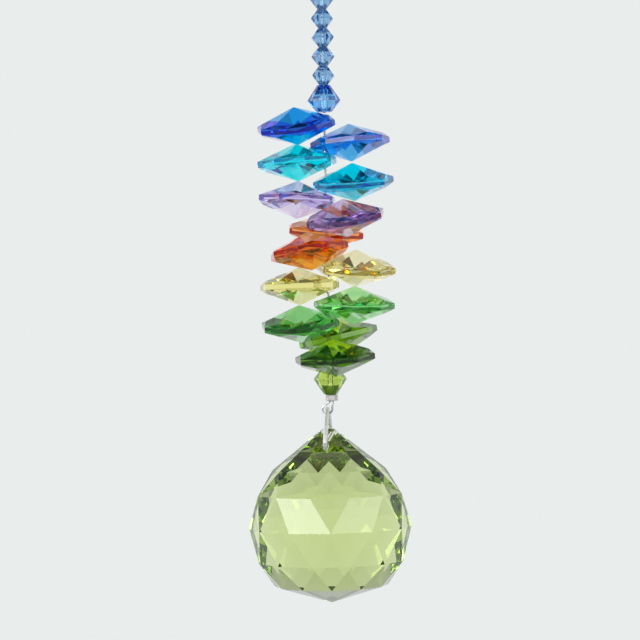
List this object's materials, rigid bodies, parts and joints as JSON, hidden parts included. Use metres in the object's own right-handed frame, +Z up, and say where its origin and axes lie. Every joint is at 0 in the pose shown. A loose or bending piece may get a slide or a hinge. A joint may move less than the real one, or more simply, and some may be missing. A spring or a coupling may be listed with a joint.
{
  "type": "hanging crystal suncatcher",
  "caption": "Hanging suncatcher: a ring and a wire strung with bicone beads and flat faceted octagon crystals in rainbow order, with a faceted crystal ball on a bail below.",
  "frame": {"origin": "the inside of the hanging ring at its top, where a hook bears", "axes": "+Z up along the strand, -Y towards the front, +X to the right seen from the front"},
  "size_m": [0.03, 0.03, 0.1429],
  "materials": {
    "bright_chrome": "polished plated wire and strip",
    "silver_wire": "fine stranded silver-coloured stringing wire",
    "silver_crimp": "bright silver plate, squeezed flat",
    "light_sapphire_bicone": "polished facets",
    "large_sapphire_bicone": "polished facets",
    "sapphire_crystal": "polished facets",
    "light_sapphire_crystal": "polished facets",
    "aqua_crystal": "polished facets",
    "blue_zircon_crystal": "polished facets",
    "light_violet_crystal": "polished facets",
    "violet_crystal": "polished facets",
    "tangerine_crystal": "polished facets",
    "amber_crystal": "polished facets",
    "jonquil_crystal": "polished facets",
    "citrine_crystal": "polished facets",
    "light_emerald_crystal": "polished facets",
    "emerald_crystal": "polished facets",
    "olive_crystal": "polished facets",
    "peridot_crystal": "polished facets",
    "peridot_bicone": "polished facets",
    "pale_peridot_ball": "polished facets"
  },
  "bodies": {
    "root": {"hanging_ring": "bright_chrome", "bail": "bright_chrome", "stringing_wire": "silver_wire", "crimp_upper": "silver_crimp", "crimp_lower": "silver_crimp", "small_bicone_1": "light_sapphire_bicone", "small_bicone_2": "light_sapphire_bicone", "small_bicone_3": "light_sapphire_bicone", "small_bicone_4": "light_sapphire_bicone", "small_bicone_5": "light_sapphire_bicone", "small_bicone_6": "light_sapphire_bicone", "small_bicone_7": "light_sapphire_bicone", "small_bicone_8": "light_sapphire_bicone", "small_bicone_9": "light_sapphire_bicone", "small_bicone_10": "light_sapphire_bicone", "large_bicone_sapphire": "large_sapphire_bicone", "octagon_sapphire": "sapphire_crystal", "octagon_light_sapphire": "light_sapphire_crystal", "octagon_aqua": "aqua_crystal", "octagon_blue_zircon": "blue_zircon_crystal", "octagon_light_violet": "light_violet_crystal", "octagon_violet": "violet_crystal", "octagon_tangerine": "tangerine_crystal", "octagon_amber": "amber_crystal", "octagon_jonquil": "jonquil_crystal", "octagon_citrine": "citrine_crystal", "octagon_light_emerald": "light_emerald_crystal", "octagon_emerald": "emerald_crystal", "octagon_olive": "olive_crystal", "octagon_peridot": "peridot_crystal", "large_bicone_peridot": "peridot_bicone", "faceted_ball": "pale_peridot_ball"}
  },
  "joints": []
}
